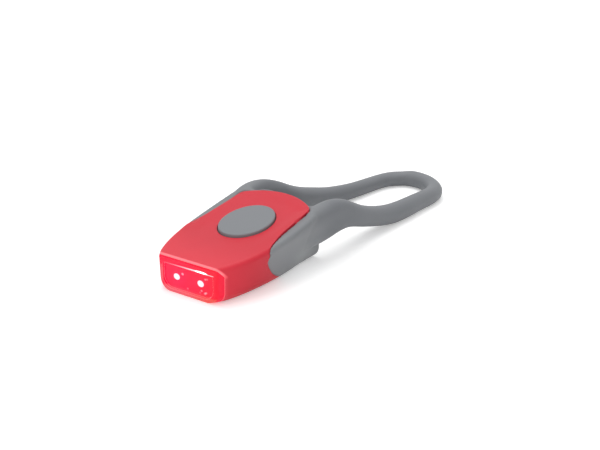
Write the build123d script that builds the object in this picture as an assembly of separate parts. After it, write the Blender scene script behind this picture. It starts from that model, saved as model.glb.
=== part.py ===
from build123d import *
import os
from math import acos, atan2, cos, hypot, pi, radians, sin, sqrt

# Rear safety lamp for a bicycle with a push button and a moulded silicone strap, in millimetres.
# X runs across, Y runs back from the lens, Z runs up. The origin is the point of the resting plane
# that lies straight below the middle of the button. A "station" is a distance behind the lens face.

os.makedirs("parts", exist_ok=True)

# Driving sizes of the housing
LENS_TO_BUTTON = 28.0
ENVELOPE_LENGTH = 50.0
FRONT_HALF_WIDTH = 11.2
WIDEST_HALF_WIDTH = 18.1
FRONT_FLAT = 6.9
WIDEST_FLAT = 11.0
FRONT_HEIGHT = 11.7
REAR_HEIGHT = 19.95
SADDLE_DEPTH = 0.85
FRONT_SHOULDER = 1.3
REAR_SHOULDER = 1.3
LOWER_CORNER = 4.0
CROWN_RADIUS = 2000.0
WALL = 1.5
RIM_WALL = 3.7
REAR_FACE = 47.0
REAR_ARC = 23.0

# Station share, share of the bulge in width, share of the bulge of the flat underside
HULL = [
    (0.00, 0.00, 0.00),
    (0.06, 0.29, 0.50),
    (0.16, 0.58, 0.80),
    (0.28, 0.80, 0.95),
    (0.40, 0.93, 1.00),
    (0.56, 1.00, 0.94),
    (0.72, 0.97, 0.72),
    (0.86, 0.90, 0.50),
    (1.00, 0.84, 0.36),
]

# Driving sizes of the strap
STRAP_SKIN = 1.4
STRAP_GAP = 0.05
SKIN_START = 16.0
RIM_HALF = 13.9
RIM_CORNER = 3.0
LOOP_RADIUS = 13.5
LOOP_END = 114.3
LOOP_CORD = 5.9
CATCH_START = 9.2
CATCH_STATIONS = (40.5, 48.6)
CATCH_TOP = 5.3
CATCH_EDGE = 0.5

# Station, centre across, centre height, width and height of the strand, and its lean in degrees
STRAND = [
    (36.0, 12.5, 11.3, 6.0, 11.4, 15.0),
    (41.0, 13.4, 12.0, 6.5, 12.8, 13.0),
    (46.0, 14.0, 12.6, 6.8, 13.1, 10.0),
    (51.0, 14.1, 12.9, 6.9, 12.4, 7.0),
    (56.0, 14.0, 12.8, 7.0, 11.1, 4.0),
    (61.0, 13.8, 11.9, 7.1, 9.7, 2.0),
    (66.0, 13.6, 10.1, 7.2, 8.5, 0.0),
    (72.0, 13.5, 7.7, 7.2, 7.7, 0.0),
    (80.0, 13.6, 5.3, 7.2, 7.2, 0.0),
    (88.0, 13.9, 3.8, 7.0, 7.0, 0.0),
    (97.0, 14.1, 3.35, 6.6, 6.6, 0.0),
    (106.0, 13.9, 3.15, 6.2, 6.2, 0.0),
]
STRAND_CORNER = 0.46

# Plan of the red top face's side, and side view of the wings' front edge, both by station
RED_SIDE = [
    (19.6, 13.6), (17.9, 16.2), (16.9, 18.2), (15.9, 21.4),
    (15.1, 25.2), (14.6, 30.3), (14.2, 36.4),
]
RED_FLOOR = 9.5
WING_EDGE = [
    (31.0, -1.5), (26.4, 1.3), (22.2, 3.7), (19.1, 6.9),
    (17.2, 11.2), (18.0, 15.0), (21.0, 19.5), (26.0, 24.0),
]
SOCK_FRONT = 18.0

# Lens, reflector and diodes
LENS_DEPTH = 2.3
LENS_VISOR = 8.9
LENS_FACE = 0.8
LENS_EDGE = 0.35
WINDOW_DEPTH = 0.7
WINDOW_HALF = 9.9
WINDOW_HEIGHTS = (1.3, 8.9)
WINDOW_CORNERS = (1.0, 3.4)
COLLAR_START = 1.6
COLLAR_END = 4.4
COLLAR_WALL = 0.8
FIT_GAP = 0.08
LED_HALF_PITCH = 4.5
LED_HEIGHT = 5.5
LED_RADIUS = 1.5
LED_TIP = 1.8
LED_BACK = 6.7
LED_FLANGE = 1.9
LED_FLANGE_THICK = 1.0
LEAD_RADIUS = 0.28
LEAD_HALF_PITCH = 0.635
LEAD_STATION = 11.3
REFLECTOR_END = 6.6
CUP_FRONT = 2.95
CUP_BACK = 1.7

# Button
BUTTON_HALF_X = 8.3
BUTTON_HALF_Y = 9.9
BUTTON_PROUD = 0.9
BUTTON_GAP = 0.3
BUTTON_EDGE = 0.45
BUTTON_FLANGE = 0.8
BUTTON_FLANGE_THICK = 0.6
BUTTON_TOP_THICK = 1.2
BUTTON_RIB = 1.3
BUTTON_STEM = 1.5
BUTTON_TRAVEL = 0.3
MEMBRANE_THICK = 0.4
MEMBRANE_RIM = 0.5
MEMBRANE_CLEAR = 0.1
MEMBRANE_BOSS = 1.5
TOUCH_GAP = 0.02

# Bottom cover, seal and screws
COVER_THICK = 1.5
COVER_MARGIN = 0.5
COVER_ENDS = (4.6, 43.6)
COVER_GAP = 0.08
SEAL_SIZE = 0.8
CASE_SCREWS = [(7.6, 12.0), (5.9, 41.2)]
POST_RADIUS = 1.8
POST_BOTTOM = 2.65
POST_CLEAR = 0.05
HEAD_RADIUS = 1.55
HEAD_HEIGHT = 0.9
HEAD_SINK = 0.25
SHANK_RADIUS = 0.85
SHANK_TOP = 8.2
SCREW_ROUND = 0.3
HOLE_DEEPER = 0.5
SCREW_GAP = 0.06
SLOT_WIDTH = 0.45
SLOT_DEPTH = 0.45

# Cells, board and switch, stacked upwards from the cover
CELL_RADIUS = 10.0
CELL_HEIGHT = 3.2
CELL_STEP = 0.3
CELL_FACE = 8.9
CELL_FLOOR = 2.4
CELL_ROUND = 0.3
HOLDER_CLEAR = 0.15
HOLDER_WALL = 1.0
HOLDER_LIP = 0.9
HOLDER_HALF_X = 9.5
HOLDER_SPLIT = 11.0
HOLDER_FOOT = 0.1
CONTACT_HALF = 2.5
CONTACT_TAIL = 1.6
CONTACT_THICK = 0.25
CONTACT_REACH = (6.0, 7.0)
CONTACT_CORNER = 1.0
SHEET_THICK = 0.15
SHEET_MARGIN = 0.4
BOARD_THICK = 1.0
BOARD_HALF = 10.0
BOARD_TONGUE = 5.7
BOARD_ENDS = (9.6, 14.1, 39.1)
BOARD_SCREWS = [(8.0, 16.4), (8.4, 37.7)]
BOARD_POST = 1.6
BOARD_SHANK = 0.7
BOARD_HEAD = 1.3
BOARD_HEAD_THICK = 0.8
BOARD_BITE = 1.1
BOARD_CORNER = 1.5
BOARD_HOLE_GAP = 0.15
LEAD_HOLE_GAP = 0.08
STACK_GAP = 0.1
SWITCH_SIZE = 5.2
SWITCH_HEIGHT = 1.6
SWITCH_WALL = 0.55
SWITCH_FLOOR = 0.3
SWITCH_LID = 0.2
PLUNGER_RADIUS = 1.2
PLUNGER_FLANGE = 1.65
PLUNGER_FLANGE_THICK = 0.35
PLUNGER_GAP = 0.06
DOME_THICK = 0.12
DOME_CLEAR = 0.03
DOME_MARGIN = 0.1
PLUNGER_ROUND = 0.15

CHIP_STATION = 14.3
CHIP_SIZE = (4.9, 3.0, 1.4)
CHIP_PITCH = 1.1
CHIP_LEG = (0.4, 0.8, 0.3)
RESISTOR_X = 4.3
RESISTOR_SIZE = (1.2, 2.0, 0.5)
RESISTOR_EDGE = 0.08
CAN_STATION = 36.3
CAN_RADIUS = 1.9
CAN_HEIGHT = 2.9
CAN_EDGE = 0.3
CAN_FOOT = 0.5
CAN_MARGIN = 0.2

# Levels that follow from the stack
CELL_TOP = CELL_FLOOR + 2 * CELL_HEIGHT
BOARD_BOTTOM = CELL_TOP + CONTACT_THICK + SHEET_THICK + STACK_GAP
BOARD_TOP = BOARD_BOTTOM + BOARD_THICK
SWITCH_TOP = BOARD_TOP + SWITCH_HEIGHT
FAR = 80.0
OVER = 0.2


def at(station):
    """Y of a station behind the lens face."""
    return station - LENS_TO_BUTTON


def share(station, column):
    """Value of one column of the hull table at a station, on straight lines between its rows."""
    t = station / ENVELOPE_LENGTH
    for low, high in zip(HULL, HULL[1:]):
        if t <= high[0] or high is HULL[-1]:
            part = (t - low[0]) / (high[0] - low[0])
            return low[column] + part * (high[column] - low[column])


def half_width(station):
    return FRONT_HALF_WIDTH + (WIDEST_HALF_WIDTH - FRONT_HALF_WIDTH) * share(station, 1)


def flat_half(station):
    return FRONT_FLAT + (WIDEST_FLAT - FRONT_FLAT) * share(station, 2)


def top_height(station):
    """Height of the top at the middle: a rising line with a shallow saddle in it."""
    t = station / ENVELOPE_LENGTH
    return FRONT_HEIGHT + (REAR_HEIGHT - FRONT_HEIGHT) * t - 4 * SADDLE_DEPTH * t * (1 - t)


BUTTON_TOP = top_height(LENS_TO_BUTTON)
BUTTON_SLOPE = top_height(LENS_TO_BUTTON + 1) - BUTTON_TOP


def shoulder_radius(station):
    t = min(station / (0.6 * ENVELOPE_LENGTH), 1.0)
    return FRONT_SHOULDER + (REAR_SHOULDER - FRONT_SHOULDER) * (1 - (1 - t) ** 2)


def hull_section(station, side, top_in, bottom_in):
    """Cross-section of the housing, drawn in by its own amount at the sides, top and bottom."""
    y = at(station)
    r_top = max(shoulder_radius(station) - min(side, top_in), 0.4)
    r_low = max(LOWER_CORNER - side, 0.4)
    crown = CROWN_RADIUS - top_in
    half = half_width(station) - side
    top = top_height(station) - top_in
    shoulder_x = half - r_top
    shoulder_z = top - crown + sqrt((crown - r_top) ** 2 - shoulder_x**2)
    low_x = flat_half(station)
    low_z = bottom_in + r_low
    slope = atan2(shoulder_z - low_z, shoulder_x - low_x)
    reach = hypot(shoulder_x - low_x, shoulder_z - low_z)
    side_angle = slope - acos((r_low - r_top) / reach)
    top_angle = atan2(shoulder_z - (top - crown), shoulder_x)

    def on(cx, cz, radius, angle, sign=1):
        return (sign * (cx + radius * cos(angle)), y, cz + radius * sin(angle))

    def edges(sign):
        low_mid = (side_angle - pi / 2) / 2
        top_mid = (side_angle + top_angle) / 2
        a = (sign * low_x, y, bottom_in)
        b = on(low_x, low_z, r_low, low_mid, sign)
        c = on(low_x, low_z, r_low, side_angle, sign)
        d = on(shoulder_x, shoulder_z, r_top, side_angle, sign)
        e = on(shoulder_x, shoulder_z, r_top, top_mid, sign)
        f = on(shoulder_x, shoulder_z, r_top, top_angle, sign)
        return [ThreePointArc(a, b, c), Line(c, d), ThreePointArc(d, e, f)], a, f

    right, right_foot, right_top = edges(1)
    left, left_foot, left_top = edges(-1)
    crown_arc = ThreePointArc(right_top, (0, y, top), left_top)
    return make_face([Line(left_foot, right_foot), *right, crown_arc, *left])


def hull(side=0.0, top_in=None, bottom_in=None):
    """The housing's outer form, or the same form drawn in."""
    top_in = side if top_in is None else top_in
    bottom_in = side if bottom_in is None else bottom_in
    stations = [row[0] * ENVELOPE_LENGTH for row in HULL]
    return loft([hull_section(s, side, top_in, bottom_in) for s in stations])


def slab(low_station, high_station, low_z=-FAR, high_z=FAR, half_x=FAR):
    """Box between two stations and two heights."""
    depth = high_station - low_station
    block = Box(2 * half_x, depth, high_z - low_z, align=(Align.CENTER, Align.MIN, Align.MIN))
    return Pos(0, at(low_station), low_z) * block


def plan_prism(points, low_z, high_z, rear=None, corner=0.0):
    """Upright prism over a plan outline: a curve up the right side and its mirror image.

    With rear given, the outline ends at the rear in an arc of REAR_ARC radius whose top is at that
    station, and the two corners there are rounded.
    """
    right = [(x, at(s)) for x, s in points]
    left = [(-x, y) for x, y in right]
    edges = [Line(left[0], right[0]), Spline(*right), Spline(*left)]
    if rear is None:
        edges.append(Line(left[-1], right[-1]))
    else:
        edges.append(ThreePointArc(left[-1], (0, at(rear)), right[-1]))
    face = make_face(edges)
    if corner:
        ends = [v for v in face.vertices() if abs(v.Y - right[-1][1]) < 0.01]
        face = fillet(ends, corner)
    return extrude(Pos(0, 0, low_z) * face, high_z - low_z)


def rear_arc(x, top=REAR_FACE, radius=REAR_ARC):
    """Station of the rear face's arc at a distance from the middle."""
    return top - radius + sqrt(radius**2 - x**2)


def core_prism(grow=0.0):
    """Everything in front of the housing's rear face, grown backwards by a gap or a skin."""
    radius = REAR_ARC + grow
    edge = FAR / 4
    rear = at(rear_arc(edge, REAR_FACE + grow, radius))
    outline = [
        Line((-edge, at(-edge)), (edge, at(-edge))),
        Line((edge, at(-edge)), (edge, rear)),
        ThreePointArc((edge, rear), (0, at(REAR_FACE + grow)), (-edge, rear)),
        Line((-edge, rear), (-edge, at(-edge))),
    ]
    return extrude(Pos(0, 0, -FAR) * make_face(outline), 2 * FAR)


def red_top_prism(grow=0.0):
    """Plan of the red top face, which the strap's rim frames on three sides."""
    corner = RIM_HALF + grow
    corner_station = rear_arc(corner, REAR_FACE + grow, REAR_ARC + grow)
    points = [(x + grow, s) for x, s in RED_SIDE] + [(corner, corner_station)]
    return plan_prism(points, RED_FLOOR, FAR, rear=REAR_FACE + grow, corner=RIM_CORNER)


def wing_prism(grow=0.0):
    """Side view of the strap: everything behind the leaf-shaped front edge of its wings."""
    points = [(0, at(s - grow), z) for s, z in WING_EDGE]
    top = (0, FAR, WING_EDGE[-1][1])
    bottom = (0, FAR, WING_EDGE[0][1])
    outline = [Spline(*points), Line(points[-1], top), Line(top, bottom), Line(bottom, points[0])]
    return extrude(make_face(outline), FAR / 2, dir=(1, 0, 0), both=True)


def flat_plan(margin, ends, count=7):
    """Points of a plan outline that keeps a margin inside the flat underside."""
    steps = [ends[0] + (ends[1] - ends[0]) * i / (count - 1) for i in range(count)]
    return [(flat_half(s) - margin, s) for s in steps]


def oval(half_x, half_y, low_z=0.0, high_z=FAR / 2):
    return extrude(Pos(0, 0, low_z) * Ellipse(half_x, half_y), high_z - low_z)


def lens_region():
    """Side view of the lens: upright behind, and cut back under the visor of the top."""
    outline = Polyline(
        (0, at(-5), -5), (0, at(LENS_DEPTH), -5), (0, at(LENS_DEPTH), LENS_VISOR),
        (0, at(0), FRONT_HEIGHT - 0.1), (0, at(-5), FRONT_HEIGHT + 2), close=True,
    )
    return extrude(make_face(outline), FAR / 2, dir=(1, 0, 0), both=True)


def both_sides(spots):
    """The listed places and their mirror images, as (x, y)."""
    return [(side * x, at(s)) for x, s in spots for side in (-1, 1)]


def peg(x, y, radius, low_z, high_z):
    height = high_z - low_z
    return Pos(x, y, low_z + height / 2) * Cylinder(radius, height)


BODY = hull()
UNDER_STRAP = hull(STRAP_SKIN + STRAP_GAP)
CAVITY = hull(RIM_WALL, WALL, COVER_THICK + 2 * OVER)
FRONT_CAVITY = hull(WALL, WALL, COVER_THICK)


def make_top_shell():
    """Housing: hull less the lens, the strap's recess, the cavity, the cover and the button hole."""
    covered = wing_prism(STRAP_GAP) - red_top_prism()
    covered -= plan_prism(flat_plan(0, (SOCK_FRONT, REAR_FACE - 2), 6), -FAR, COVER_THICK + OVER)
    covered -= UNDER_STRAP
    shell = BODY & core_prism()
    shell -= lens_region()
    shell -= covered
    opening = plan_prism(flat_plan(COVER_MARGIN, COVER_ENDS), -1, COVER_THICK + 3 * OVER)
    posts = [peg(x, y, POST_RADIUS, POST_BOTTOM, FAR / 4) for x, y in both_sides(CASE_SCREWS)]
    posts += [peg(x, y, BOARD_POST, BOARD_TOP, FAR / 4) for x, y in both_sides(BOARD_SCREWS)]
    rooms = [
        FRONT_CAVITY & slab(COLLAR_START - FIT_GAP, SKIN_START),
        CAVITY & slab(SKIN_START, ENVELOPE_LENGTH) & core_prism(-WALL),
    ]
    for room in rooms:
        for post in posts:
            room -= post
        shell -= room
    shell -= opening
    for x, y in both_sides(CASE_SCREWS):
        shell -= peg(x, y, SHANK_RADIUS + SCREW_GAP, 0, SHANK_TOP + HOLE_DEEPER)
    for x, y in both_sides(BOARD_SCREWS):
        shell -= peg(x, y, BOARD_SHANK + SCREW_GAP, 0, BOARD_TOP + BOARD_BITE + HOLE_DEEPER)
    shell -= oval(BUTTON_HALF_X + BUTTON_GAP, BUTTON_HALF_Y + BUTTON_GAP, BOARD_TOP)
    return shell


def make_front_lens():
    """Clear cap with a framed window in its face and a collar that plugs into the housing."""
    lens = BODY & lens_region()
    rim = lens.faces().sort_by(Axis.Y)[0].edges()
    lens = fillet(rim, LENS_EDGE)
    collar_out = WALL + FIT_GAP
    lens += hull(collar_out) & slab(COLLAR_START, COLLAR_END)
    lens -= hull(collar_out + COLLAR_WALL) & slab(WINDOW_DEPTH + LENS_FACE, COLLAR_END + 1)
    low, high = WINDOW_HEIGHTS
    window = Pos(0, (low + high) / 2) * Rectangle(2 * WINDOW_HALF, high - low)
    corners = window.vertices().sort_by(Axis.Y)
    window = fillet(corners[:2], WINDOW_CORNERS[1])
    window = fillet(window.vertices().group_by(Axis.Y)[-1], WINDOW_CORNERS[0])
    face_plane = Plane(origin=(0, at(WINDOW_DEPTH), 0), x_dir=(1, 0, 0), z_dir=(0, -1, 0))
    return lens - extrude(face_plane * window, 5, taper=-12)


def make_reflector():
    """Bright block behind the window with a flared cup round each diode."""
    block = hull(WALL + COLLAR_WALL + 2 * FIT_GAP) & slab(WINDOW_DEPTH + LENS_FACE + 0.05, REFLECTOR_END)
    depth = REFLECTOR_END - LENS_DEPTH + 1
    profile = make_face([
        Line((0, 0), (CUP_BACK, 0)),
        ThreePointArc((CUP_BACK, 0), ((CUP_BACK + CUP_FRONT) / 2 + 0.3, depth / 2), (CUP_FRONT, depth)),
        Line((CUP_FRONT, depth), (0, depth)),
        Line((0, depth), (0, 0)),
    ])
    cup = revolve(profile, Axis.Y)
    for side in (-1, 1):
        place = Pos(side * LED_HALF_PITCH, at(REFLECTOR_END), LED_HEIGHT) * Rot(0, 0, 180)
        block -= place * cup
    return block


def make_led(side):
    """Round diode with a domed tip, a flange and two leads bent up into the board."""
    x = side * LED_HALF_PITCH
    body = LED_BACK - LED_TIP - LED_RADIUS
    profile = make_face([
        Line((0, 0), (LED_FLANGE, 0)),
        Line((LED_FLANGE, 0), (LED_FLANGE, LED_FLANGE_THICK)),
        Line((LED_FLANGE, LED_FLANGE_THICK), (LED_RADIUS, LED_FLANGE_THICK)),
        Line((LED_RADIUS, LED_FLANGE_THICK), (LED_RADIUS, LED_FLANGE_THICK + body)),
        JernArc((LED_RADIUS, LED_FLANGE_THICK + body), (0, 1), LED_RADIUS, 90),
        Line((0, LED_FLANGE_THICK + body + LED_RADIUS), (0, 0)),
    ])
    back = LED_BACK + LED_FLANGE_THICK
    led = Pos(x, at(back), LED_HEIGHT) * Rot(0, 0, 180) * revolve(profile, Axis.Y)
    for lead in (-1, 1):
        lead_x = x + lead * LEAD_HALF_PITCH
        path = FilletPolyline(
            (lead_x, at(back) - 0.3, LED_HEIGHT), (lead_x, at(LEAD_STATION), LED_HEIGHT),
            (lead_x, at(LEAD_STATION), BOARD_TOP + 0.5), radius=1.0,
        )
        start = Plane(origin=path @ 0, z_dir=path % 0)
        led += sweep(start * Circle(LEAD_RADIUS), path=path)
    return led


def button_levels():
    """How far below the housing's top the flange and the membrane lie, and the boss's two ends."""
    flange_top = WALL + BUTTON_GAP
    flange_bottom = flange_top + BUTTON_FLANGE_THICK
    film_top = flange_bottom + MEMBRANE_CLEAR
    film_bottom = film_top + MEMBRANE_THICK
    boss_top = BUTTON_TOP - film_top + BUTTON_SLOPE * MEMBRANE_BOSS
    boss_bottom = BUTTON_TOP - film_bottom - BUTTON_SLOPE * MEMBRANE_BOSS
    return flange_top, flange_bottom, film_top, film_bottom, boss_top, boss_bottom


def make_button_cap():
    """Oval pad with a flange below the housing, hollow under its top, and a stem in the middle."""
    flange_top, flange_bottom, _, _, boss_top, _ = button_levels()
    cap = oval(BUTTON_HALF_X, BUTTON_HALF_Y) & hull(-BUTTON_PROUD, -BUTTON_PROUD, 0)
    cap = fillet(cap.faces().sort_by(Axis.Z)[-1].edges(), BUTTON_EDGE)
    flange = oval(BUTTON_HALF_X + BUTTON_FLANGE, BUTTON_HALF_Y + BUTTON_FLANGE)
    cap += flange & hull(-1, flange_top, 0)
    cap -= hull(-1, flange_bottom, 0)
    pocket = oval(BUTTON_HALF_X - BUTTON_RIB, BUTTON_HALF_Y - BUTTON_RIB)
    cap -= pocket & hull(-1, BUTTON_TOP_THICK - BUTTON_PROUD, 0)
    stem = peg(0, 0, BUTTON_STEM, boss_top + TOUCH_GAP, BUTTON_TOP + OVER)
    return cap + stem


def make_button_diaphragm():
    """Shallow oval dish of silicone, bonded under the housing by its rim, with a boss in its middle."""
    _, _, film_top, film_bottom, boss_top, boss_bottom = button_levels()
    inner = BUTTON_FLANGE + BUTTON_GAP
    outer = inner + MEMBRANE_RIM
    dish = oval(BUTTON_HALF_X + outer, BUTTON_HALF_Y + outer) & hull(-1, WALL + TOUCH_GAP, 0)
    dish -= hull(-2, film_bottom, 0)
    space = oval(BUTTON_HALF_X + inner, BUTTON_HALF_Y + inner) - hull(-2, film_top, 0)
    return dish - space + peg(0, 0, MEMBRANE_BOSS, boss_bottom, boss_top)


def make_bottom_cover():
    """Closing plate with counterbored screw holes, stubs under the posts and a groove in its edge."""
    plan = flat_plan(COVER_MARGIN + COVER_GAP, (COVER_ENDS[0] + COVER_GAP, COVER_ENDS[1] - COVER_GAP))
    cover = plan_prism(plan, 0, COVER_THICK)
    low = (COVER_THICK - SEAL_SIZE) / 2
    cover -= edge_ring(-1, SEAL_SIZE + TOUCH_GAP, low, low + SEAL_SIZE)
    for x, y in both_sides(CASE_SCREWS):
        cover += peg(x, y, POST_RADIUS, COVER_THICK, POST_BOTTOM - POST_CLEAR)
        cover -= peg(x, y, HEAD_RADIUS + SCREW_GAP, -1, HEAD_SINK + HEAD_HEIGHT)
        cover -= peg(x, y, SHANK_RADIUS + SCREW_GAP, 0, POST_BOTTOM + 1)
    return cover


def edge_ring(outside, inside, low_z, high_z):
    """Ring between two margins from the edge of the cover's opening."""
    front, back = COVER_ENDS
    outer = flat_plan(COVER_MARGIN + outside, (front + outside, back - outside))
    inner = flat_plan(COVER_MARGIN + inside, (front + inside, back - inside))
    return plan_prism(outer, low_z, high_z) - plan_prism(inner, low_z, high_z)


def make_case_seal():
    low = (COVER_THICK - SEAL_SIZE) / 2
    return edge_ring(TOUCH_GAP, SEAL_SIZE, low + TOUCH_GAP, low + SEAL_SIZE - TOUCH_GAP)


def screw(x, y, head_radius, head_low, head_high, shank_radius, shank_top):
    """Pan-head screw that points up, with a cross recess in its head."""
    body = peg(x, y, head_radius, head_low, head_high)
    body = fillet(body.edges().group_by(Axis.Z)[0], SCREW_ROUND)
    body += peg(x, y, shank_radius, head_high, shank_top)
    body = chamfer(body.edges().group_by(Axis.Z)[-1], SCREW_ROUND)
    for turn in (0, 90):
        slot = Box(1.2 * head_radius, SLOT_WIDTH, 2 * SLOT_DEPTH)
        body -= Pos(x, y, head_low) * Rot(0, 0, turn) * slot
    return body


def make_case_screws():
    head_top = HEAD_SINK + HEAD_HEIGHT
    return [
        screw(x, y, HEAD_RADIUS, HEAD_SINK, head_top, SHANK_RADIUS, SHANK_TOP)
        for x, y in both_sides(CASE_SCREWS)
    ]


def make_board_screws():
    low = BOARD_BOTTOM - BOARD_HEAD_THICK
    return [
        screw(x, y, BOARD_HEAD, low, BOARD_BOTTOM, BOARD_SHANK, BOARD_TOP + BOARD_BITE)
        for x, y in both_sides(BOARD_SCREWS)
    ]


def make_circuit_board():
    """Board with a narrow tongue between the front posts and holes for the leads and screws."""
    front, step, back = BOARD_ENDS
    board = slab(front, step + 1, BOARD_BOTTOM, BOARD_TOP, BOARD_TONGUE)
    board += slab(step, back, BOARD_BOTTOM, BOARD_TOP, BOARD_HALF)
    corners = board.edges().filter_by(Axis.Z).filter_by(lambda e: abs(e.center().Y - at(back)) < 0.1)
    board = fillet(corners, BOARD_CORNER)
    for x, y in both_sides(BOARD_SCREWS):
        board -= peg(x, y, BOARD_SHANK + BOARD_HOLE_GAP, 0, FAR)
    for lead in (-1, 1):
        spot = [(LED_HALF_PITCH + lead * LEAD_HALF_PITCH, LEAD_STATION)]
        for x, y in both_sides(spot):
            board -= peg(x, y, LEAD_RADIUS + LEAD_HOLE_GAP, 0, FAR)
    return board


def square(size, low_z, high_z, y=0.0):
    """Upright square block with cut corners."""
    block = Pos(0, y, (low_z + high_z) / 2) * Box(size, size, high_z - low_z)
    return chamfer(block.edges().filter_by(Axis.Z), size / 10)


def make_switch_base():
    """Square tub of the tactile switch with a round well for the dome and plunger."""
    height = SWITCH_HEIGHT - SWITCH_LID
    tub = square(SWITCH_SIZE, BOARD_TOP, BOARD_TOP + height)
    return tub - peg(0, 0, SWITCH_SIZE / 2 - SWITCH_WALL, BOARD_TOP + SWITCH_FLOOR, FAR)


def make_switch_cover():
    """Thin steel lid with a round hole for the plunger."""
    lid = square(SWITCH_SIZE, SWITCH_TOP - SWITCH_LID, SWITCH_TOP)
    return lid - peg(0, 0, PLUNGER_RADIUS + PLUNGER_GAP, 0, FAR)


def plunger_levels():
    """Bottom of the plunger, top of its flange, and its top just under the membrane."""
    flange_top = SWITCH_TOP - SWITCH_LID - PLUNGER_GAP
    return flange_top - PLUNGER_FLANGE_THICK, flange_top, button_levels()[-1] - TOUCH_GAP


def make_switch_plunger():
    bottom, flange_top, top = plunger_levels()
    plunger = peg(0, 0, PLUNGER_RADIUS, bottom, top)
    plunger = fillet(plunger.edges().group_by(Axis.Z)[-1], PLUNGER_ROUND)
    return plunger + peg(0, 0, PLUNGER_FLANGE, bottom, flange_top)


def make_switch_dome():
    """Snap dome: a thin spherical cap that stands on the floor of the well."""
    foot = BOARD_TOP + SWITCH_FLOOR
    rise = plunger_levels()[0] - DOME_CLEAR - foot
    span = SWITCH_SIZE / 2 - SWITCH_WALL - DOME_MARGIN
    ball = (span**2 + rise**2) / (2 * rise)
    centre = Pos(0, 0, foot + rise - ball)
    dome = centre * Sphere(ball) - centre * Sphere(ball - DOME_THICK)
    return dome & peg(0, 0, span + 1, foot, foot + rise + 1)


def make_cell(level):
    """Coin cell: can with rounded edges and the smaller pole face below."""
    floor = CELL_FLOOR + level * CELL_HEIGHT
    can = peg(0, 0, CELL_RADIUS, floor + CELL_STEP, floor + CELL_HEIGHT)
    can = fillet(can.edges(), CELL_ROUND)
    return can + peg(0, 0, CELL_FACE, floor, floor + CELL_STEP + CELL_ROUND)


def make_battery_holder():
    """Two curved walls with an inward lip, open at the sides where the cells are gripped."""
    inner = CELL_RADIUS + HOLDER_CLEAR
    wall = inner + HOLDER_WALL
    low = COVER_THICK + HOLDER_FOOT
    ring = peg(0, 0, wall, low, BOARD_BOTTOM) - peg(0, 0, inner, CELL_FLOOR - TOUCH_GAP, FAR)
    ring -= peg(0, 0, inner - HOLDER_LIP, 0, FAR)
    half = Box(2 * HOLDER_HALF_X, 4 * CELL_RADIUS, FAR)
    ring = ring & half
    ring -= Box(4 * CELL_RADIUS, HOLDER_SPLIT, FAR)
    ring -= slab(LENS_TO_BUTTON, ENVELOPE_LENGTH, 0, low + CONTACT_THICK + OVER, CONTACT_HALF + OVER)
    return ring.solids()


def make_contact_negative():
    """Leaf that lies on the cover, rises to the lower cell and climbs behind the holder."""
    back = LENS_TO_BUTTON + CELL_RADIUS + HOLDER_CLEAR + HOLDER_WALL + TOUCH_GAP
    low = COVER_THICK + TOUCH_GAP
    high = CELL_FLOOR - CONTACT_THICK - TOUCH_GAP
    middle = LENS_TO_BUTTON
    reach = CONTACT_REACH[0]
    bends = [(back, low), (middle + reach, low), (middle, high), (middle - reach, low + OVER)]
    lower = [(0, at(s), z) for s, z in bends]
    upper = [(0, at(s), z + CONTACT_THICK) for s, z in reversed(bends)]
    strip = extrude(make_face(Polyline(*lower, *upper, close=True)), CONTACT_HALF, dir=(1, 0, 0), both=True)
    return strip + slab(back, back + CONTACT_THICK, low, BOARD_TOP - OVER, CONTACT_TAIL)


def make_contact_positive():
    """Leaf under the board that presses on the upper cell."""
    low = CELL_TOP
    front = LENS_TO_BUTTON - CONTACT_REACH[1]
    back = LENS_TO_BUTTON + CONTACT_REACH[1]
    leaf = slab(front, back, low, low + CONTACT_THICK, CONTACT_HALF)
    return fillet(leaf.edges().filter_by(Axis.Z), CONTACT_CORNER)


def make_insulator_sheet():
    low = CELL_TOP + CONTACT_THICK + STACK_GAP / 3
    return peg(0, 0, CELL_RADIUS - SHEET_MARGIN, low, low + SHEET_THICK)


def make_flasher_chip():
    """Eight-lead package under the board's tongue, with gull-wing leads."""
    length, width, height = CHIP_SIZE
    centre = at(CHIP_STATION)
    body = Pos(0, centre, BOARD_BOTTOM - height / 2 - TOUCH_GAP) * Box(length, width, height)
    body = chamfer(body.edges().filter_by(Axis.X), height / 5)
    leg = Box(*CHIP_LEG)
    for side in (-1, 1):
        for column in range(4):
            x = (column - 1.5) * CHIP_PITCH
            body += Pos(x, centre + side * (width + CHIP_LEG[0]) / 2, BOARD_BOTTOM - CHIP_LEG[2] / 2) * leg
    return body


def make_led_resistors():
    chips = []
    for side in (-1, 1):
        chip = Box(*RESISTOR_SIZE)
        chip = chamfer(chip.edges().filter_by(Axis.Y), RESISTOR_EDGE)
        place = Pos(side * RESISTOR_X, at(CHIP_STATION), BOARD_BOTTOM - RESISTOR_SIZE[2] / 2)
        chips.append(place * chip)
    return chips


def make_filter_capacitor():
    """Small can capacitor on a square foot."""
    y = at(CAN_STATION)
    can = peg(0, y, CAN_RADIUS, BOARD_TOP, BOARD_TOP + CAN_HEIGHT)
    can = fillet(can.edges().group_by(Axis.Z)[-1], CAN_EDGE)
    return square(2 * (CAN_RADIUS + CAN_MARGIN), BOARD_TOP, BOARD_TOP + CAN_FOOT, y) + can


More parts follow.
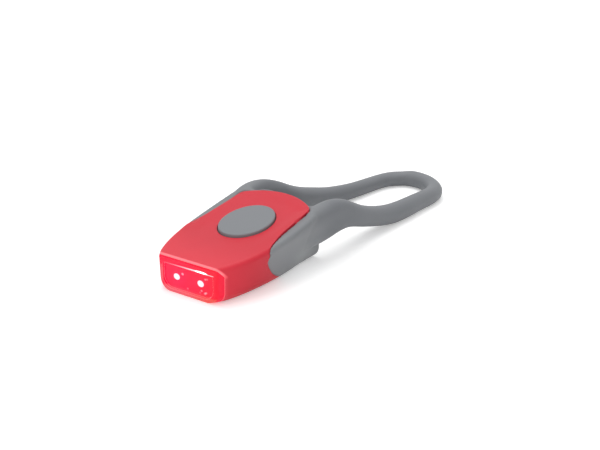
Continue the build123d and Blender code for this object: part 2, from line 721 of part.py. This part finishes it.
def make_loop():
    """Both strands and the round end in one loft, from one rear corner to the other."""
    rows = []
    for s, x, z, width, height, lean in STRAND:
        rows.append((0.0, (x, at(s), z), width, height, lean))
    for turn in range(15, 91, 25):
        angle = radians(turn)
        place = (LOOP_RADIUS * cos(angle), at(LOOP_END) + LOOP_RADIUS * sin(angle), LOOP_CORD / 2)
        rows.append((float(turn), place, LOOP_CORD, LOOP_CORD, 0.0))
    mirrored = []
    for turn, (x, y, z), width, height, lean in reversed(rows[:-1]):
        mirrored.append((180.0 - turn, (-x, y, z), width, height, lean))
    sections = []
    for turn, place, width, height, lean in rows + mirrored:
        a = radians(turn)
        plane = Plane(origin=place, x_dir=(cos(a), sin(a), 0), z_dir=(-sin(a), cos(a), 0))
        outline = RectangleRounded(width, height, STRAND_CORNER * width)
        sections.append(plane * Rot(0, 0, lean) * outline)
    return loft(sections)


def make_catch(side):
    """Step-shaped hook at a lower rear corner, which the loop's end hangs on."""
    front, back = CATCH_STATIONS
    reach = Box(FAR, back - front, 2 * CATCH_TOP, align=(Align.MIN, Align.MIN, Align.MAX))
    block = BODY & Pos(CATCH_START, at(front), CATCH_TOP) * reach
    rear = block.faces().sort_by(Axis.Y)[-1]
    block = fillet(rear.edges(), CATCH_EDGE)
    return block if side > 0 else mirror(block, about=Plane.YZ)


def make_silicone_strap():
    """Sock round the rear of the housing with wings, catches and loop, in one moulding."""
    core = hull(STRAP_SKIN) & core_prism(STRAP_GAP)
    red = red_top_prism(STRAP_GAP)
    strap = BODY & core_prism(STRAP_SKIN) & wing_prism()
    strap = strap - core - red
    strap -= plan_prism(flat_plan(-STRAP_GAP, (SOCK_FRONT, REAR_FACE - 2), 6), -FAR, STRAP_SKIN + OVER)
    strap += make_loop() - core - red
    for side in (-1, 1):
        strap += make_catch(side) - core
    return strap


NODES = {
    "top_shell": make_top_shell,
    "front_lens": make_front_lens,
    "reflector": make_reflector,
    "led_left": lambda: make_led(-1),
    "led_right": lambda: make_led(1),
    "button_cap": make_button_cap,
    "button_diaphragm": make_button_diaphragm,
    "bottom_cover": make_bottom_cover,
    "case_seal": make_case_seal,
    "case_screws": make_case_screws,
    "circuit_board": make_circuit_board,
    "board_screws": make_board_screws,
    "flasher_chip": make_flasher_chip,
    "led_resistors": make_led_resistors,
    "filter_capacitor": make_filter_capacitor,
    "switch_base": make_switch_base,
    "switch_dome": make_switch_dome,
    "switch_plunger": make_switch_plunger,
    "switch_cover": make_switch_cover,
    "battery_cell_lower": lambda: make_cell(0),
    "battery_cell_upper": lambda: make_cell(1),
    "battery_holder": make_battery_holder,
    "contact_positive": make_contact_positive,
    "contact_negative": make_contact_negative,
    "insulator_sheet": make_insulator_sheet,
    "silicone_strap": make_silicone_strap,
}

for name, make in NODES.items():
    piece = make()
    solids = piece if isinstance(piece, list) else piece.solids()
    export_step(Compound(children=list(solids)) if len(solids) > 1 else solids[0], f"parts/{name}.step")
    print(name, len(solids), [round(s.volume, 1) for s in solids][:6])
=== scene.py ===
import bmesh
import bpy
from math import exp, hypot, radians
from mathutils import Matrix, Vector


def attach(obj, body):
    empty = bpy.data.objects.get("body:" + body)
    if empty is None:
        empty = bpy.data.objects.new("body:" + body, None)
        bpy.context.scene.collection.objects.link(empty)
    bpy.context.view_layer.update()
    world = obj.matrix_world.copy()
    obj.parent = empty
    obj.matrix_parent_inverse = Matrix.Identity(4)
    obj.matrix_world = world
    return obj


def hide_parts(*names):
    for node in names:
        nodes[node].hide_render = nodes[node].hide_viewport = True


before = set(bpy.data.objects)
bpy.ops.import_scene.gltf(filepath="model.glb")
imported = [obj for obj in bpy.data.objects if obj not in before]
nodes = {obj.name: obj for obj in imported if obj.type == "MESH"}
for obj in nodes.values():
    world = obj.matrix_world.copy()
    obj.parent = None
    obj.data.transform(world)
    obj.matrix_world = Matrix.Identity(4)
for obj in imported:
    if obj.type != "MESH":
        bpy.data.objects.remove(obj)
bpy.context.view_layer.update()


# Housing: one moulding in coral-red translucent plastic, with the fine satin skin of a spark-eroded
# mould. It is closed from below by the cover, and a faint painted glow near the lens stands for the
# light of the diodes that runs along inside it. A painted highlight runs along its top edge by the
# lens. Its red face stands a little proud of the strap at the sides and the rear.
class Shading:
    """The node tree of a material or a world, with helpers that wire nodes and return their output."""

    def __init__(self, owner, shader="Principled BSDF"):
        owner.use_nodes = True
        self.owner = owner
        self.tree = owner.node_tree
        self.shader = self.tree.nodes[shader]

    def fill(self, socket, value):
        if isinstance(value, bpy.types.NodeSocket):
            self.tree.links.new(value, socket)
        else:
            socket.default_value = value

    def set(self, **sockets):
        """Sets or wires the shader's own sockets."""
        for key, value in sockets.items():
            self.fill(self.shader.inputs[key.replace("_", " ")], value)

    def node(self, kind, settings=(), **inputs):
        """A node with its inputs given by name, or by number as in _0."""
        made = self.tree.nodes.new(kind)
        for key, value in dict(settings).items():
            setattr(made, key, value)
        for key, value in inputs.items():
            numbered = key[1:].isdigit()
            self.fill(made.inputs[int(key[1:]) if numbered else key.replace("_", " ")], value)
        return made

    def math(self, operation, *values):
        inputs = {f"_{place}": value for place, value in enumerate(values)}
        return self.node("ShaderNodeMath", {"operation": operation}, **inputs).outputs[0]

    def add(self, first, second):
        return self.math("ADD", first, second)

    def times(self, first, second):
        return self.math("MULTIPLY", first, second)

    def ramp(self, value, low, high, start=0.0, end=1.0, curve="LINEAR"):
        """Goes from start to end while the value goes from low to high, and stays level outside."""
        return self.node("ShaderNodeMapRange", {"interpolation_type": curve}, Value=value,
                         From_Min=low, From_Max=high, To_Min=start, To_Max=end).outputs["Result"]

    def ease(self, value, low, high, start=0.0, end=1.0):
        """A ramp with soft ends."""
        return self.ramp(value, low, high, start, end, "SMOOTHSTEP")

    def blend(self, factor, first, second, **settings):
        """The first colour at factor 0 and the second at 1."""
        return self.node("ShaderNodeMix", {"data_type": "RGBA", **settings},
                         Factor=factor, _6=first, _7=second).outputs[2]

    def axes(self, names):
        """Those of X, Y and Z that are named, of the shaded point, in metres in the shared frame."""
        split = self.node("ShaderNodeSeparateXYZ", Vector=self.place)
        return [split.outputs[name] for name in names]


def skin(name, colour, shade=0.06, cloud=90.0, rough=(0.42, 0.52), grain=2600.0, relief=0.00002, bump=0.25,
         metal=0.0):
    """Moulded or drawn skin: slow cloudiness in its colour, and a fine grain in roughness and relief."""
    made = Shading(bpy.data.materials.new(name))
    made.place = made.node("ShaderNodeTexCoord").outputs["Object"]
    slow = made.node("ShaderNodeTexNoise", Vector=made.place, Scale=cloud, Detail=3.0, Roughness=0.5)
    fine = made.node("ShaderNodeTexNoise", Vector=made.place, Scale=grain, Detail=2.0, Roughness=0.55)
    darker = (*[level * (1 - shade) for level in colour], 1)
    lighter = (*[min(level * (1 + shade), 1.0) for level in colour], 1)
    made.tone = made.blend(slow.outputs["Fac"], darker, lighter)
    pits = made.node("ShaderNodeBump", Strength=bump, Distance=relief, Height=fine.outputs["Fac"])
    made.set(Base_Color=made.tone, Metallic=metal, Normal=pits.outputs["Normal"],
             Roughness=made.ramp(fine.outputs["Fac"], 0.0, 1.0, *rough))
    return made


def wear(mesh, finish):
    """Gives a mesh its finish, in place of all it had."""
    mesh.materials.clear()
    mesh.materials.append(finish.owner)


def dress(finish, *names):
    """Gives CAD nodes their finish."""
    for name in names:
        wear(nodes[name].data, finish)


def merged_copy(name, node_name):
    """An object with a copy of a CAD node's mesh, and the mesh as a bmesh with its doubles merged."""
    mesh = nodes[node_name].data.copy()
    made = bpy.data.objects.new(name, mesh)
    bpy.context.scene.collection.objects.link(made)
    shape = bmesh.new()
    shape.from_mesh(mesh)
    bmesh.ops.remove_doubles(shape, verts=shape.verts, dist=0.000002)
    return made, shape


def step(value, low, high):
    """0 below low, 1 above high, and smooth between them."""
    t = min(max((value - low) / (high - low), 0.0), 1.0)
    return t * t * (3 - 2 * t)


def face_height(y):
    """Height of the housing's top face, which rises to the rear and sags a little on the way."""
    front, length, front_height, rise, sag = -0.028, 0.050, 0.0117, 0.00825, 0.0034
    t = (y - front) / length
    return front_height + rise * t - sag * t * (1 - t)


def from_middle(x, y):
    """Distance in plan from the point about which the housing's rear is round."""
    return hypot(x, y + 0.004)


painted_glow_level, painted_glow_rear = 0.10, -0.012
edge_highlight_level, edge_width = 0.42, (0.0003, 0.0012)
front_rim_y, visor_z, visor_lean = -0.0257, 0.0089, 0.85
coral = skin("coral_plastic", (0.63, 0.028, 0.048), shade=0.05, rough=(0.40, 0.50))
coral.set(Subsurface_Weight=0.12, Subsurface_Radius=(1.0, 0.2, 0.2), Subsurface_Scale=0.0015,
          Specular_IOR_Level=0.22)
coral_y, coral_z = coral.axes("YZ")
# A faint painted glow in the emission, strongest by the lens and gone towards the rear.
painted_glow = coral.ease(coral_y, -0.027, painted_glow_rear, painted_glow_level, 0.0)
# A painted highlight in paler pink along the top edge by the lens, just above the visor line.
above_visor = coral.math("MAXIMUM", coral.math("SUBTRACT", coral_z, visor_z), 0.0)
behind_rim = coral.math("SUBTRACT", coral_y, front_rim_y)
from_lens = coral.math("MULTIPLY_ADD", above_visor, visor_lean, behind_rim)
high = coral.ramp(coral_z, 0.0080, 0.0100, 0.15, 1.0)
painted_edge_highlight = coral.times(coral.ease(from_lens, *edge_width, 1.0, 0.0), high)
coral.set(Emission_Strength=coral.math("MULTIPLY_ADD", painted_edge_highlight, edge_highlight_level, painted_glow),
          Emission_Color=coral.blend(painted_edge_highlight, (1.0, 0.08, 0.12, 1), (1.0, 0.42, 0.45, 1)))

edge_raise = 0.0006
cuts_across = (-0.0145, -0.0135, -0.0125, -0.0110, -0.0095, 0.0095, 0.0110, 0.0125, 0.0135, 0.0145)
cuts_along = (-0.014, -0.011, -0.008, -0.005, -0.002, 0.002, 0.006, 0.010, 0.0125, 0.0145, 0.0160, 0.0175)
housing, shell = merged_copy("housing", "top_shell")
for spot, normal in ([((x, 0, 0), (1, 0, 0)) for x in cuts_across]
                     + [((0, y, 0), (0, 1, 0)) for y in cuts_along]):
    geometry = shell.verts[:] + shell.edges[:] + shell.faces[:]
    bmesh.ops.bisect_plane(shell, geom=geometry, plane_co=spot, plane_no=normal, dist=0.000001)
for v in shell.verts:
    x, y, z = v.co
    on_face = step(z, face_height(y) - 0.0011, face_height(y) - 0.0006)
    side = step(abs(x), 0.0095, 0.0138) * step(y, -0.014, 0.002)
    rear = step(from_middle(x, y), 0.0180, 0.0225) * step(y, 0.008, 0.014)
    v.co.z += edge_raise * on_face * max(side, rear)
shell.to_mesh(housing.data)
shell.free()
housing.data.shade_smooth()
housing.data.set_sharp_from_angle(angle=radians(25))
wear(housing.data, coral)
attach(housing, "lamp")
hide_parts("top_shell")

# Lens: a clear red cap with a framed window, moulded with a polished face and plugged into the front
# of the housing by its collar. It is lit from behind, and its red glow and the light that leaves it at
# its edges are painted in its emission.
lens = skin("lens_plastic", (0.80, 0.002, 0.022), shade=0.03, rough=(0.05, 0.09), bump=0.03)
lens.set(Transmission_Weight=0.10, Specular_IOR_Level=0.16, IOR=1.5, Coat_Weight=0.12)
lens_x, lens_y, lens_z = lens.axes("XYZ")


def disc(x, z, radius, soft, stretch=1.22):
    """1 inside an oval spot on the window, falling to 0 over its soft edge."""
    flat = lens.node("ShaderNodeCombineXYZ", X=lens.math("DIVIDE", lens_x, stretch), Y=0.0, Z=lens_z)
    far = lens.node("ShaderNodeVectorMath", {"operation": "DISTANCE"},
                    _0=flat.outputs[0], _1=(x / stretch, 0.0, z))
    return lens.ease(far.outputs["Value"], radius - soft, radius + soft, 1.0, 0.0)


# The lit diodes, painted as bright spots on the window, and small painted sparkles that stand for
# the diodes' reflections, each with its place, radius and level. They show only on the window, which
# lies behind its frame.
in_window = lens.ramp(lens_y, -0.02745, -0.0272)
hot = lens.add(disc(-0.0049, 0.0052, 0.00100, 0.00012), disc(0.0046, 0.0053, 0.00102, 0.00012))
sparkle_soft = 0.00016
painted_sparkles = ((-0.0025, 0.0066, 0.00038, 0.55), (0.0065, 0.0071, 0.00030, 0.50), (0.0072, 0.0073, 0.00030, 0.35),
         (-0.0006, 0.0024, 0.00030, 0.30), (0.0049, 0.0031, 0.00030, 0.45), (0.0043, 0.0024, 0.00028, 0.25),
         (0.0062, 0.0025, 0.00034, 0.45), (0.0067, 0.0028, 0.00034, 0.45))
for x, z, radius, level in painted_sparkles:
    hot = lens.add(hot, lens.times(disc(x, z, radius, sparkle_soft), level))
hot = lens.times(hot, in_window)
# A painted halo of light round each diode on the window.
halo_radius, halo_soft = 0.0024, 0.0022
halo = lens.add(disc(-0.0048, 0.0052, halo_radius, halo_soft), disc(0.0046, 0.0053, halo_radius, halo_soft))
halo = lens.times(halo, in_window)

# The painted highlight line along the window's upper edge, which widens to the right, with a longer painted
# highlight spot on it.
line_z, line_start = 0.00918, -0.0100
line_tail = lens.ease(lens_x, 0.0072, 0.0084, 1.0, 0.25)
line_width = lens.times(lens.ramp(lens_x, line_start, 0.0050, 0.00008, 0.00048), line_tail)
from_line = lens.math("ABSOLUTE", lens.math("SUBTRACT", lens_z, line_z))
line = lens.ease(lens.math("DIVIDE", from_line, line_width), 0.5, 1.2, 1.0, 0.0)
line_end = lens.ease(lens_x, 0.0098, 0.0108, 1.0, 0.0)
line_level = lens.times(line_end, lens.ramp(lens_x, line_start, 0.0020, 0.05, 0.55))
long_spot = lens.times(disc(0.0054, 0.00925, 0.00046, 0.00022, 4.2), 0.55)
on_frame = lens.ramp(lens_y, -0.0270, -0.0273)
glint = lens.times(lens.add(lens.times(line, line_level), long_spot), on_frame)
hot = lens.add(hot, glint)

# The painted light's colour: pink in the window and redder to the right, a pale painted highlight low
# and left on the frame, and paler again as a painted highlight on the rounded edges, which a bevelled
# normal finds.
low = lens.ease(lens_z, 0.0014, 0.0023, 1.0, 0.0)
left = lens.ease(lens_x, -0.0103, -0.0097, 0.8, 0.0)
below_visor = lens.ramp(lens_z, 0.0070, 0.0088, 1.0, 0.0)
painted_pale_light = lens.math("MAXIMUM", low, lens.times(left, below_visor))
painted_pale_light = lens.times(painted_pale_light, lens.math("SUBTRACT", 1.0, in_window))
right = lens.ease(lens_x, -0.0040, 0.0100)
bevel = lens.node("ShaderNodeBevel", {"samples": 8}, Radius=0.00028)
surface = lens.node("ShaderNodeNewGeometry")
agree = lens.node("ShaderNodeVectorMath", {"operation": "DOT_PRODUCT"},
                  _0=bevel.outputs["Normal"], _1=surface.outputs["Normal"])
edge = lens.ramp(agree.outputs["Value"], 0.995, 0.80)
light = lens.blend(in_window, (1.0, 0.010, 0.130, 1), (1.0, 0.020, 0.210, 1))
light = lens.blend(painted_pale_light, light, (0.80, 0.40, 0.48, 1))
light = lens.blend(right, light, (1.0, 0.8, 0.45, 1), blend_type="MULTIPLY")
light = lens.blend(hot, light, (1.0, 0.95, 0.95, 1))
light = lens.blend(edge, light, (1.0, 0.34, 0.40, 1))
# Levels of the painted light: the diodes' spots, sparkles and highlight line, the edges, the halos, and an even
# red glow over the whole lens.
hot_level, edge_level, halo_level, base_level = 2.2, 0.60, 0.12, 0.26
strength = lens.add(lens.times(hot, hot_level), lens.times(edge, edge_level))
strength = lens.add(strength, lens.times(halo, halo_level))
lens.set(Emission_Color=light, Emission_Strength=lens.add(strength, base_level))
dress(lens, "front_lens")

# Reflector: a metallised block behind the window with a flared cup round each diode. It slides into
# the lens's collar.
bright = skin("bright_plating", (0.90, 0.88, 0.87), shade=0.03, rough=(0.10, 0.18), bump=0.1, metal=1.0)
dress(bright, "reflector")

# Diodes: two round clear-resin diodes, lit at their tips, with tinned leads that turn up into the
# board and are soldered there.
tip_level, tip_reach, leads_start = 6.0, (-0.0250, -0.0228), (-0.0204, -0.0203)
resin = skin("led_resin", (0.85, 0.30, 0.30), rough=(0.10, 0.15), bump=0.05)
[resin_y] = resin.axes("Y")
resin.set(Emission_Strength=resin.ramp(resin_y, *tip_reach, tip_level, 0.0),
          Emission_Color=(1.0, 0.60, 0.62, 1), Metallic=resin.ramp(resin_y, *leads_start))
dress(resin, "led_left", "led_right")

# Sealing membrane: a thin moulded dish of milky silicone, bonded by its rim under the button's hole.
# It keeps the water out and bends with the button.
film = skin("membrane_silicone", (0.72, 0.73, 0.74), shade=0.03, rough=(0.45, 0.55))
film.set(Subsurface_Weight=0.3, Subsurface_Radius=(1.0, 1.0, 1.0), Subsurface_Scale=0.001)
dress(film, "button_diaphragm")

# Button: an oval pad of grey silicone rubber with a soft edge and a fine matt skin, held by the flange
# that lies under the housing.
rubber = skin("button_rubber", (0.205, 0.215, 0.230), shade=0.03, cloud=60.0, rough=(0.50, 0.62), bump=0.3)
rubber.set(Specular_IOR_Level=0.4)
dress(rubber, "button_cap")

# Circuit board: glass-fibre board with a green solder mask, through which the weave and some copper
# tracks show. It is screwed under the housing's rear posts.
board = skin("board_green", (0.018, 0.15, 0.055), rough=(0.28, 0.38), bump=0.1)
weave = board.node("ShaderNodeTexBrick", {"offset": 0.5}, Vector=board.place, Scale=260.0, Mortar_Size=0.06,
                   Color1=(0.020, 0.150, 0.055, 1), Color2=(0.016, 0.125, 0.045, 1),
                   Mortar=(0.035, 0.230, 0.085, 1))
board.set(Base_Color=weave.outputs["Color"])
dress(board, "circuit_board")

# Controller: a small moulded package in black epoxy with tinned gull-wing leads, soldered under the
# board's tongue.
parts_row_y = -0.0137


def tin_ends(finish, start, end, tin):
    """Tins what lies further along Y from the middle of the row of small parts than start to end."""
    [y] = finish.axes("Y")
    from_row = finish.math("ABSOLUTE", finish.math("SUBTRACT", y, parts_row_y))
    tinned = finish.ramp(from_row, start, end)
    finish.set(Metallic=tinned, Base_Color=finish.blend(tinned, finish.tone, tin))


epoxy = skin("chip_epoxy", (0.022, 0.022, 0.024), rough=(0.55, 0.75), grain=6000.0)
tin_ends(epoxy, 0.00151, 0.00153, (0.65, 0.65, 0.66, 1))
dress(epoxy, "flasher_chip")

# Resistors: two ceramic chips with a dark glass face and tinned ends, which set the diodes' current.
# They are soldered flat to the board beside the controller.
glass = skin("resistor_glass", (0.030, 0.032, 0.040), rough=(0.2, 0.3), grain=5000.0)
tin_ends(glass, 0.00066, 0.00070, (0.66, 0.66, 0.65, 1))
dress(glass, "led_resistors")

# Capacitor: a drawn aluminium can on a black moulded foot, which steadies the supply when the diodes
# flash. It is soldered to the board behind the switch.
foot_black, foot_top = (0.025, 0.025, 0.025, 1), (0.01078, 0.01082)
can = skin("can_aluminium", (0.62, 0.62, 0.63), shade=0.03, rough=(0.25, 0.40), grain=4000.0)
[can_z] = can.axes("Z")
is_can = can.ramp(can_z, *foot_top)
can.set(Metallic=is_can, Base_Color=can.blend(is_can, foot_black, can.tone))
dress(can, "filter_capacitor")

# Tactile switch: a black glass-filled tub with a snap dome of phosphor bronze, a white plunger and a
# pressed steel lid, all on the board under the button.
tub = skin("switch_nylon", (0.020, 0.020, 0.021), rough=(0.50, 0.65), grain=5000.0)
dress(tub, "switch_base")
bronze = skin("dome_bronze", (0.78, 0.62, 0.38), shade=0.04, rough=(0.20, 0.30), grain=7000.0, metal=1.0)
dress(bronze, "switch_dome")
nylon = skin("plunger_nylon", (0.78, 0.77, 0.72), shade=0.03, rough=(0.40, 0.50), grain=5000.0)
dress(nylon, "switch_plunger")
lid = skin("lid_steel", (0.66, 0.66, 0.65), shade=0.03, rough=(0.22, 0.34), grain=6000.0, metal=1.0)
dress(lid, "switch_cover")

# Screws: zinc-plated steel, with turned heads and a cross recess. Four small ones hold the board, and
# four self-tapping ones the cover, from below.
zinc = skin("zinc_steel", (0.58, 0.60, 0.63), shade=0.06, rough=(0.24, 0.36), grain=5000.0, metal=1.0)
dress(zinc, "board_screws", "case_screws")

# Insulator: a disc die-cut from thin amber film. It lies between the upper contact and the board, and
# keeps the board's joints off the contact.
amber = skin("insulator_film", (0.62, 0.36, 0.08), shade=0.05, rough=(0.25, 0.35))
dress(amber, "insulator_sheet")

# Contacts: nickel-plated bronze leaves, blanked and bent. One lies on the upper cell, the other under
# the lower cell and up behind the holder.
nickel = skin("contact_nickel", (0.72, 0.68, 0.58), shade=0.05, rough=(0.20, 0.32), grain=5000.0, metal=1.0)
dress(nickel, "contact_positive", "contact_negative")

# Cells: two coin cells in drawn stainless cans, with a satin skin from handling. They lie one on the
# other between the holder's walls.
steel = skin("cell_steel", (0.64, 0.64, 0.63), shade=0.04, rough=(0.18, 0.30), grain=3500.0, metal=1.0)
dress(steel, "battery_cell_upper", "battery_cell_lower")

# Holder: two curved walls of black plastic, injection moulded. They stand on the cover and keep the
# cells in place.
black = skin("holder_plastic", (0.025, 0.025, 0.027), rough=(0.45, 0.60), grain=3500.0)
dress(black, "battery_holder")

# Seal: a moulded ring of black silicone in the groove of the cover's edge. The screws press the cover
# and the ring against the housing.
seal = skin("seal_silicone", (0.018, 0.018, 0.019), rough=(0.60, 0.80), grain=4000.0)
dress(seal, "case_seal")

# Cover: the closing plate in the underside, injection moulded in the housing's red but duller, with
# a coarser skin. It is screwed up into the housing.
dull_red = skin("cover_plastic", (0.44, 0.030, 0.048), shade=0.06, rough=(0.46, 0.58), grain=1800.0,
                relief=0.00004, bump=0.4)
dress(dull_red, "bottom_cover")

# Strap: one soft silicone moulding that grips the housing like a sock, with wings, catches and a loop.
# It starts from the CAD solid and gets an even skin, and its points are then moved to where the soft
# loop lies and leans. The far strand and its hump are those at x below 0.
strap, soft = merged_copy("strap", "silicone_strap")
soft.to_mesh(strap.data)
soft.free()
remesh = strap.modifiers.new("even_skin", "REMESH")
remesh.mode = "VOXEL"
remesh.voxel_size = 0.00032
remesh.use_smooth_shade = True
bpy.context.view_layer.update()
even = bpy.data.meshes.new_from_object(strap.evaluated_get(bpy.context.evaluated_depsgraph_get()))
strap.modifiers.clear()
strap.data = even


def bell(value, centre, spread):
    return exp(-((value - centre) / spread) ** 2)


def relax(shape, points, turns):
    """Rounds a mesh off, by moving points half way to the middle of their neighbours in each turn."""
    for turn in range(turns):
        bmesh.ops.smooth_vert(shape, verts=points, factor=0.5, use_axis_x=True, use_axis_y=True, use_axis_z=True)


hump_rise, strand_rise, strand_shift, strand_bow = 0.0011, 0.0011, 0.0019, 0.0012
strand_thinning, strand_middle_x, strand_sink = 0.10, -0.0120, 0.11
end_shortening, end_swing = 0.0004, 0.0007
catch_back, lip_drop, tip_fill, heel_out, heel_forward = 0.0007, 0.0009, 0.0015, 0.0005, 0.0006
heel_height = 0.0045
soft = bmesh.new()
soft.from_mesh(even)
relax(soft, soft.verts, 3)
relax(soft, [v for v in soft.verts if abs(v.co.x) > 0.0085 and 0.0105 < v.co.y < 0.034 and v.co.z > 0.006], 14)
for v in soft.verts:
    x, y, z = v.co
    far = step(-x, 0.0, 0.008)
    hump = bell(y, 0.022, 0.011) * step(z, 0.008, 0.016) * far
    v.co.z += hump_rise * hump
    v.co.z += strand_rise * bell(y, 0.050, 0.016) * far
    inward = step(y, 0.052, 0.076) * far
    v.co.x += (strand_shift + strand_bow * bell(y, 0.087, 0.010)) * inward
    v.co.x -= strand_thinning * (v.co.x - strand_middle_x) * inward
    v.co.z -= strand_sink * z * inward
    v.co.y -= end_shortening * step(y, 0.085, 0.101)
    v.co.x -= end_swing * step(y, 0.090, 0.102)
    catch = step(y, 0.0165, 0.0195) * (1 - step(z, 0.0030, 0.0055)) * step(abs(x), 0.009, 0.0105)
    v.co.y += catch_back * catch
    behind = step(from_middle(x, y), 0.0231, 0.0243)
    lip = behind * step(z, 0.0150, 0.0175) * (1 - step(abs(x), 0.0095, 0.0128))
    v.co.z -= lip_drop * lip
    tip = step(y, -0.0101, -0.0088) * step(-y, 0.0050, 0.0085)
    v.co.y -= tip_fill * tip * step(z, 0.0092, 0.0095) * (1 - step(z, 0.0102, 0.0126))
    heel = step(y, 0.0110, 0.0150) * (1 - step(y, 0.0240, 0.0280)) * step(abs(x), 0.010, 0.013)
    heel *= max(1 - z / heel_height, 0.0)
    v.co.x += (heel_out if x > 0 else -heel_out) * heel
    v.co.y -= heel_forward * heel
relax(soft, [v for v in soft.verts if v.co.x < -0.0085 and 0.008 < v.co.y < 0.040 and v.co.z > 0.010], 8)
relax(soft, [v for v in soft.verts if abs(v.co.x) < 0.0045 and v.co.y > 0.094], 10)
soft.to_mesh(even)
soft.free()
even.shade_smooth()

# Its skin is painted lighter on the wings up to the humps, as painted light on faces turned to the
# light, and painted darker just behind the humps, as painted shade. It is also lighter at the catches'
# heels and towards the loop's end. The first band leans back with Z.
lighter_grey, wing_light_start = (0.36, 0.37, 0.38, 1), 0.010
silicone = skin("grey_silicone", (0.175, 0.184, 0.198), shade=0.05, cloud=60.0, rough=(0.48, 0.60), bump=0.2)
strap_y, strap_z = silicone.axes("YZ")
lean = silicone.ramp(strap_z, 0.0165, 0.0205, 0.0, 0.008)
leaned_y = silicone.math("SUBTRACT", strap_y, lean)
shoulder = silicone.ease(strap_z, 0.0120, 0.0158, 1.0, 0.45)
# Painted light on the wings up to the humps, less of it high on the shoulders.
painted_wing_light = silicone.times(silicone.ease(leaned_y, wing_light_start, 0.0235, 0.36, 0.0), shoulder)
# Painted shade just behind the humps.
painted_hump_shade = silicone.ease(leaned_y, wing_light_start, 0.020, 0.0, -0.10)
painted_hump_shade = silicone.times(painted_hump_shade, silicone.ease(strap_y, 0.030, 0.046, 1.0, 0.0))
# Lighter towards the loop's end.
lighter_loop_end = silicone.ease(strap_y, 0.060, 0.095, 0.0, 0.12)
heel_tone = silicone.times(silicone.ease(strap_z, 0.0035, 0.0105, 0.46, 0.0),
                           silicone.ease(strap_y, 0.001, 0.011))
heel_tone = silicone.times(heel_tone, silicone.ease(strap_y, 0.0215, 0.026, 1.0, 0.0))
lift = silicone.add(silicone.add(silicone.add(painted_wing_light, painted_hump_shade), lighter_loop_end), heel_tone)
silicone.set(Base_Color=silicone.blend(lift, silicone.tone, lighter_grey, clamp_factor=False),
             Specular_IOR_Level=0.4)
wear(even, silicone)
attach(strap, "lamp")
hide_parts("silicone_strap")

# Stage: a white floor that shows from above only, a white world that is dimmer as a light than it
# looks, two soft lamps and the camera of the photograph.
floor_half, floor_drop, floor_lift = 3.0, 0.00002, 0.34
floor_bm = bmesh.new()
bmesh.ops.create_grid(floor_bm, x_segments=1, y_segments=1, size=floor_half)
floor_mesh = bpy.data.meshes.new("floor")
floor_bm.to_mesh(floor_mesh)
floor_bm.free()
floor = bpy.data.objects.new("floor", floor_mesh)
floor.location = (0, 0, -floor_drop)
bpy.context.scene.collection.objects.link(floor)


def seen(shading):
    """1 for a ray of the camera, and for one that left a mirror or passed through glass."""
    path = shading.node("ShaderNodeLightPath")
    either = shading.math("MAXIMUM", path.outputs["Is Camera Ray"], path.outputs["Is Glossy Ray"])
    return shading.math("MAXIMUM", either, path.outputs["Is Transmission Ray"])


paper = Shading(bpy.data.materials.new("white_paper"))
paper.set(Base_Color=(0.9, 0.9, 0.9, 1), Roughness=0.9, Emission_Color=(1, 1, 1, 1),
          Emission_Strength=paper.times(seen(paper), floor_lift))
side_seen = paper.node("ShaderNodeNewGeometry")
clear = paper.node("ShaderNodeBsdfTransparent")
one_sided = paper.node("ShaderNodeMixShader", Fac=side_seen.outputs["Backfacing"],
                       _1=paper.shader.outputs["BSDF"], _2=clear.outputs["BSDF"])
paper.fill(paper.tree.nodes["Material Output"].inputs["Surface"], one_sided.outputs["Shader"])
wear(floor_mesh, paper)

world_as_light, world_as_seen = 0.60, 1.0
bpy.context.scene.world = bpy.data.worlds.new("studio")
sky = Shading(bpy.context.scene.world, "Background")
sky.set(Color=(1, 1, 1, 1), Strength=sky.ramp(seen(sky), 0.0, 1.0, world_as_light, world_as_seen))


def lamp(name, spot, aim, size, power):
    """A soft square lamp that points at its aim."""
    light = bpy.data.lights.new(name, "AREA")
    light.shape = "SQUARE"
    light.size = size
    light.energy = power
    holder = bpy.data.objects.new(name, light)
    holder.location = spot
    holder.rotation_euler = (Vector(aim) - Vector(spot)).to_track_quat("-Z", "Y").to_euler()
    bpy.context.scene.collection.objects.link(holder)


lamp("overhead", (-0.15, 0.10, 0.75), (0, 0.02, 0), 0.6, 3.0)
lamp("front_fill", (0.35, -0.75, 0.40), (0, 0.0, 0), 0.5, 1.0)

look_down, turn_left = 20.619, 37.104
view = bpy.data.cameras.new("view")
view.sensor_width = 36.0
view.lens = 75.13
view.clip_start = 0.01
view.clip_end = 10.0
eye = bpy.data.objects.new("view", view)
eye.location = (0.23313, -0.28078, 0.15179)
eye.rotation_euler = (radians(90 - look_down), 0, radians(turn_left))
bpy.context.scene.collection.objects.link(eye)
bpy.context.scene.camera = eye
bpy.context.scene.view_settings.view_transform = "Standard"
